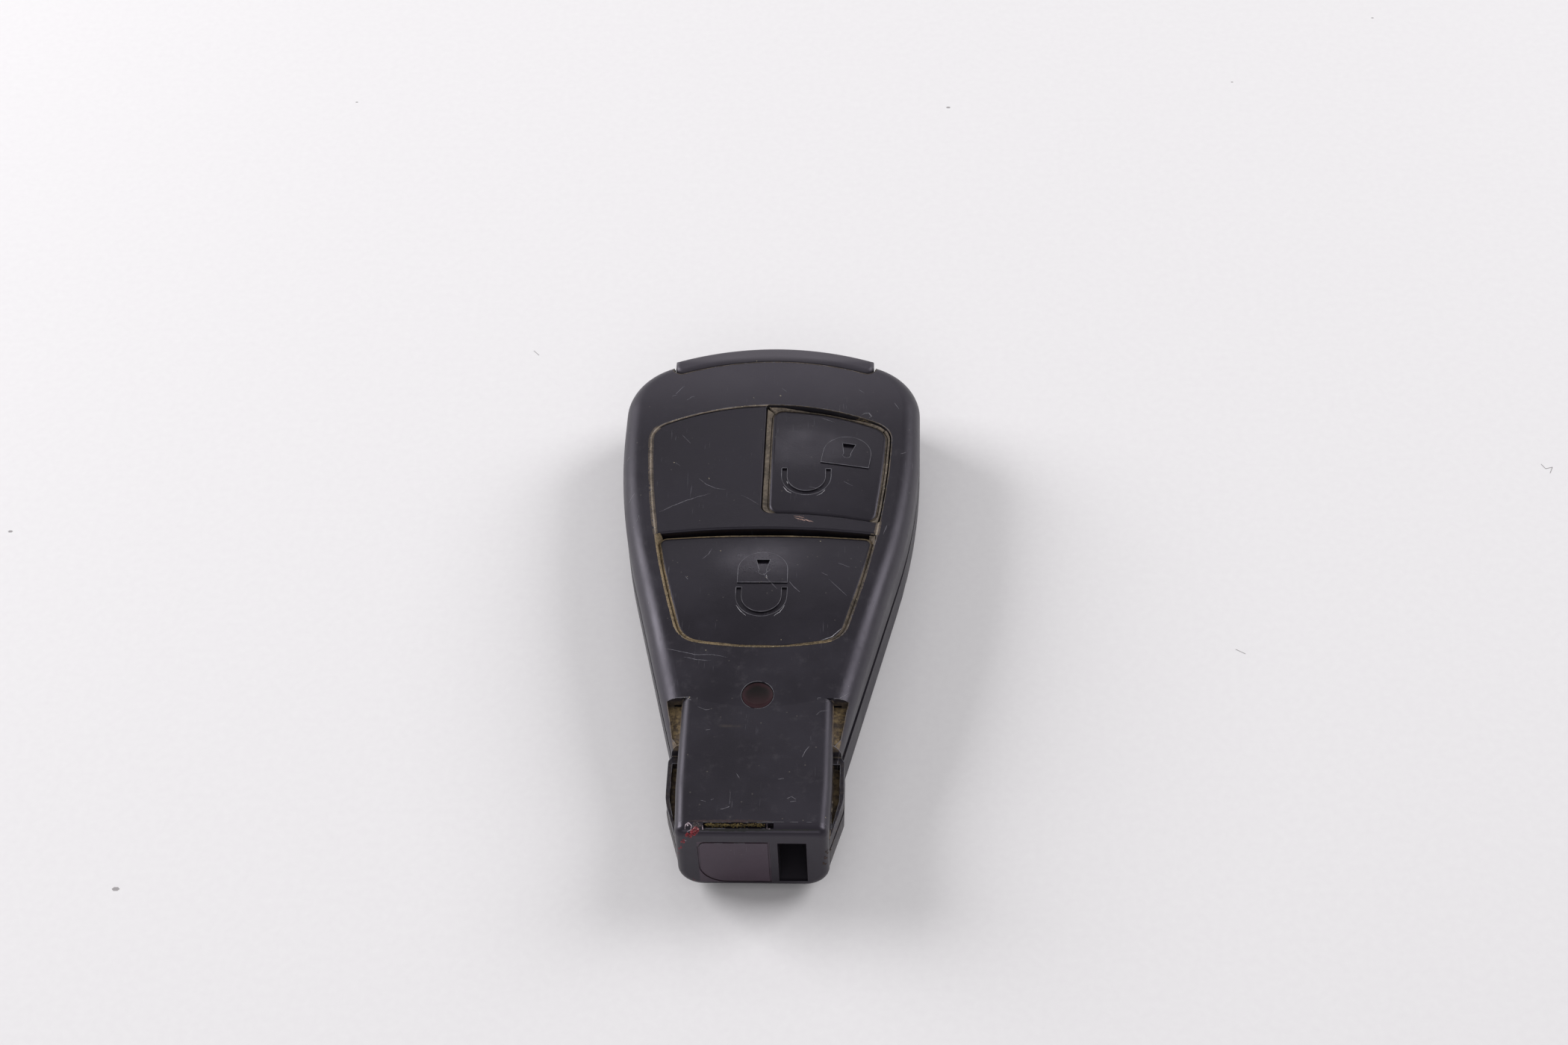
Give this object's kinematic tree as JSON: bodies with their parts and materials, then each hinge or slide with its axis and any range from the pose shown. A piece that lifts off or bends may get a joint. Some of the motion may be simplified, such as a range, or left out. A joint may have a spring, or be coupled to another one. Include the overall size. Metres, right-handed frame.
{
  "type": "car key fob",
  "caption": "Worn black car key fob with lock and unlock buttons, a nose that plugs into the ignition switch, and an emergency key that slides out of its wide end.",
  "frame": {"origin": "middle of the bounding box's bottom face: under the middle of the key, on the surface that it rests on", "axes": "+Z out of the button face, +Y towards the wide end with the emergency key's bar, -Y towards the nose, +X to the right when the buttons are seen with the nose down"},
  "size_m": [0.043, 0.0876, 0.0142],
  "materials": {
    "black_shell": "satin black with fine scratches",
    "dark_window": "dark smoke, slightly see-through",
    "button_plastic": "fine matt texture, rubbed",
    "red_lens": "dark red, see-through",
    "blade_steel": "nickel plated",
    "cell_steel": "bright nickel",
    "contact_brass": "tinned spring brass",
    "frame_plastic": "moulded, matt",
    "board_laminate": "green lacquered laminate",
    "chip_plastic": "moulded epoxy",
    "light_resin": "clear resin",
    "ferrite": "pressed ferrite",
    "copper_winding": "enamelled copper wire",
    "sheet_rubber": "matt"
  },
  "bodies": {
    "casing": {"front_shell": "black_shell", "back_shell": "black_shell", "nose_window": "dark_window", "blank_panel": "button_plastic", "led_lens": "red_lens", "coin_cell_near_ring": "cell_steel", "coin_cell_near_nose": "cell_steel", "inner_frame": "frame_plastic", "contact_positive": "contact_brass", "contact_negative": "contact_brass", "circuit_board": "board_laminate", "lock_switch": "frame_plastic", "unlock_switch": "frame_plastic", "lock_snap_disc": "blade_steel", "unlock_snap_disc": "blade_steel", "controller_chip": "chip_plastic", "radio_resonator": "cell_steel", "indicator_led": "light_resin", "infrared_leds": "light_resin", "ferrite_core": "ferrite", "pickup_coil": "copper_winding", "keypad_sheet": "sheet_rubber", "latch_spring": "blade_steel"},
    "lock_button": {"lock_button": "button_plastic", "lock_plunger": "frame_plastic"},
    "unlock_button": {"unlock_button": "button_plastic", "unlock_plunger": "frame_plastic"},
    "emergency_key": {"key_head": "black_shell", "key_blade": "blade_steel"},
    "key_release": {"release_tab": "frame_plastic"},
    "battery_cover": {"battery_cover": "black_shell", "battery_link": "contact_brass"}
  },
  "joints": [
    {"name": "lock_press", "type": "slide", "parent": "casing", "child": "lock_button", "axis": [0, 0, -1], "range_m": [0, 0.0004], "stiffness_N_per_m": 4000, "springref_m": -0.0002, "deforming": ["lock_snap_disc"]},
    {"name": "unlock_press", "type": "slide", "parent": "casing", "child": "unlock_button", "axis": [0, 0, -1], "range_m": [0, 0.0004], "stiffness_N_per_m": 4000, "springref_m": -0.0002, "deforming": ["unlock_snap_disc"]},
    {"name": "key_slide", "type": "slide", "parent": "casing", "child": "emergency_key", "axis": [0, 1, 0], "range_m": [0, 0.062]},
    {"name": "release_slide", "type": "slide", "parent": "casing", "child": "key_release", "axis": [-1, 0, 0], "range_m": [0, 0.002], "stiffness_N_per_m": 500, "springref_m": -0.0005, "deforming": ["latch_spring"]},
    {"name": "cover_lift", "type": "slide", "parent": "casing", "child": "battery_cover", "axis": [0, 0, -1], "range_m": [0, 0.012]}
  ]
}
